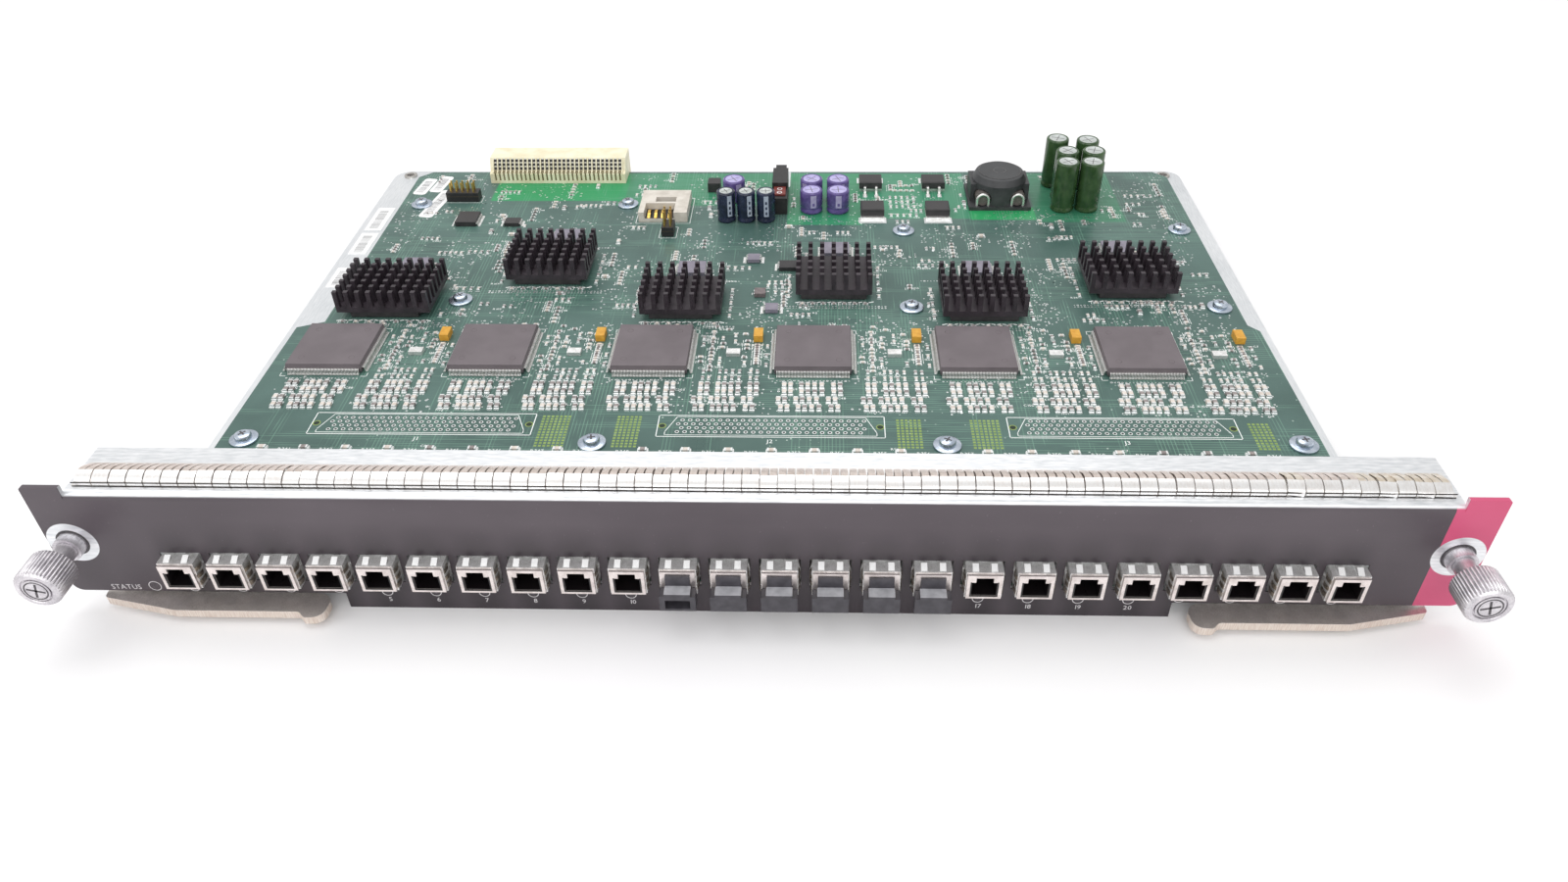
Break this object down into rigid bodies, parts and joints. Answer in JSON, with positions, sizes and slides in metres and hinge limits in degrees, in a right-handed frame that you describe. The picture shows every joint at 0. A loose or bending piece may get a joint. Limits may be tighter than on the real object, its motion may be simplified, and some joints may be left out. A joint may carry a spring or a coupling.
{
  "type": "switch line card",
  "caption": "Plug-in switch line card: faceplate with fibre ports, dust plugs, ejector levers and captive screws, on a tray carrying a populated circuit board with a backplane connector.",
  "frame": {"origin": "under the middle of the whole card, on the plane of the tray pan's underside", "axes": "+X along the faceplate to the right seen from its front, +Y from the faceplate to the backplane connector, +Z out of the component side of the board"},
  "size_m": [0.392, 0.2962, 0.0456],
  "materials": {
    "panel_paint": "satin grey powder coat",
    "spring_metal": "bright tinned spring strip",
    "tray_steel": "bright zinc-plated sheet",
    "eyelet_metal": "nickel-plated eyelet",
    "board_laminate": "solder-masked glass laminate",
    "zinc_steel": "bright zinc-plated steel",
    "nickel_plate": "bright nickel plate",
    "lever_steel": "tumbled nickel-plated steel",
    "plug_rubber": "dark moulded elastomer",
    "screw_steel": "turned and nickel plated",
    "spring_steel": "plain spring steel",
    "chip_epoxy": "moulded epoxy",
    "sink_anodised": "dark anodised",
    "green_sleeve": "shrink sleeve over an aluminium can",
    "lilac_sleeve": "coated aluminium can",
    "navy_sleeve": "shrink sleeve over an aluminium can",
    "coil_plastic": "moulded cover",
    "tinned_wire": "tinned copper",
    "cream_plastic": "cream moulded thermoplastic",
    "black_plastic": "black moulded thermoplastic",
    "header_metal": "gold-flashed pins in a moulded base",
    "ivory_plastic": "ivory moulded thermoplastic",
    "tantalum_case": "moulded chip capacitor",
    "ceramic_can": "welded metal can"
  },
  "bodies": {
    "card": {"backplane_connector": "cream_plastic", "board_screws": "zinc_steel", "board_standoffs": "zinc_steel", "bulk_capacitors": "green_sleeve", "card_socket": "ivory_plastic", "carrier_tray": "tray_steel", "circuit_board": "board_laminate", "clinch_nuts": "zinc_steel", "debug_header": "header_metal", "emi_gasket": "spring_metal", "faceplate": "panel_paint", "filter_capacitors": "navy_sleeve", "heat_sink_1": "sink_anodised", "heat_sink_2": "sink_anodised", "heat_sink_3": "sink_anodised", "heat_sink_4": "sink_anodised", "heat_sink_5": "sink_anodised", "heat_sink_6": "sink_anodised", "inductor": "coil_plastic", "inductor_winding_ends": "tinned_wire", "input_capacitors": "lilac_sleeve", "interface_chips": "chip_epoxy", "jumper_header": "header_metal", "left_ferrule": "nickel_plate", "lever_rivets": "zinc_steel", "logic_chips": "chip_epoxy", "memory_chips": "chip_epoxy", "nose_shields": "spring_metal", "oscillators": "ceramic_can", "phy_chip_1": "chip_epoxy", "phy_chip_2": "chip_epoxy", "phy_chip_3": "chip_epoxy", "phy_chip_4": "chip_epoxy", "phy_chip_5": "chip_epoxy", "phy_chip_6": "chip_epoxy", "power_connector": "black_plastic", "power_transistors": "chip_epoxy", "right_ferrule": "nickel_plate", "tantalum_capacitors": "tantalum_case", "transceiver_bank_1": "nickel_plate", "transceiver_bank_2": "nickel_plate", "transceiver_bank_3": "nickel_plate", "transceiver_bank_4": "nickel_plate", "transceiver_bank_5": "nickel_plate", "transceiver_bank_6": "nickel_plate", "tray_eyelets": "eyelet_metal"},
    "left_lever": {"left_lever": "lever_steel"},
    "right_lever": {"right_lever": "lever_steel"},
    "left_screw_carriage": {"left_retaining_ring": "spring_steel"},
    "left_screw": {"left_screw": "screw_steel"},
    "right_screw_carriage": {"right_retaining_ring": "spring_steel"},
    "right_screw": {"right_screw": "screw_steel"},
    "dust_plug_11": {"dust_plug_11": "plug_rubber"},
    "dust_plug_12": {"dust_plug_12": "plug_rubber"},
    "dust_plug_13": {"dust_plug_13": "plug_rubber"},
    "dust_plug_14": {"dust_plug_14": "plug_rubber"},
    "dust_plug_15": {"dust_plug_15": "plug_rubber"},
    "dust_plug_16": {"dust_plug_16": "plug_rubber"}
  },
  "joints": [
    {"name": "left_lever_pivot", "type": "hinge", "parent": "card", "child": "left_lever", "pos_m": [-0.1675, -0.12025, 0.00325], "axis": [0, 0, 1], "range_deg": [-70, 0]},
    {"name": "left_screw_slide", "type": "slide", "parent": "card", "child": "left_screw_carriage", "axis": [0, 1, 0], "range_m": [0, 0.0052]},
    {"name": "left_screw_spin", "type": "hinge", "parent": "left_screw_carriage", "child": "left_screw", "pos_m": [-0.189, -0.13445, 0.0245], "axis": [0, 1, 0], "continuous": true},
    {"name": "right_lever_pivot", "type": "hinge", "parent": "card", "child": "right_lever", "pos_m": [0.1675, -0.12025, 0.00325], "axis": [0, 0, 1], "range_deg": [0, 70]},
    {"name": "right_screw_slide", "type": "slide", "parent": "card", "child": "right_screw_carriage", "axis": [0, 1, 0], "range_m": [0, 0.0052]},
    {"name": "right_screw_spin", "type": "hinge", "parent": "right_screw_carriage", "child": "right_screw", "pos_m": [0.189, -0.13445, 0.0245], "axis": [0, 1, 0], "continuous": true},
    {"name": "dust_plug_11_slide", "type": "slide", "parent": "card", "child": "dust_plug_11", "axis": [0, -1, 0], "range_m": [0, 0.009]},
    {"name": "dust_plug_12_slide", "type": "slide", "parent": "card", "child": "dust_plug_12", "axis": [0, -1, 0], "range_m": [0, 0.009]},
    {"name": "dust_plug_13_slide", "type": "slide", "parent": "card", "child": "dust_plug_13", "axis": [0, -1, 0], "range_m": [0, 0.009]},
    {"name": "dust_plug_14_slide", "type": "slide", "parent": "card", "child": "dust_plug_14", "axis": [0, -1, 0], "range_m": [0, 0.009]},
    {"name": "dust_plug_15_slide", "type": "slide", "parent": "card", "child": "dust_plug_15", "axis": [0, -1, 0], "range_m": [0, 0.009]},
    {"name": "dust_plug_16_slide", "type": "slide", "parent": "card", "child": "dust_plug_16", "axis": [0, -1, 0], "range_m": [0, 0.009]}
  ]
}
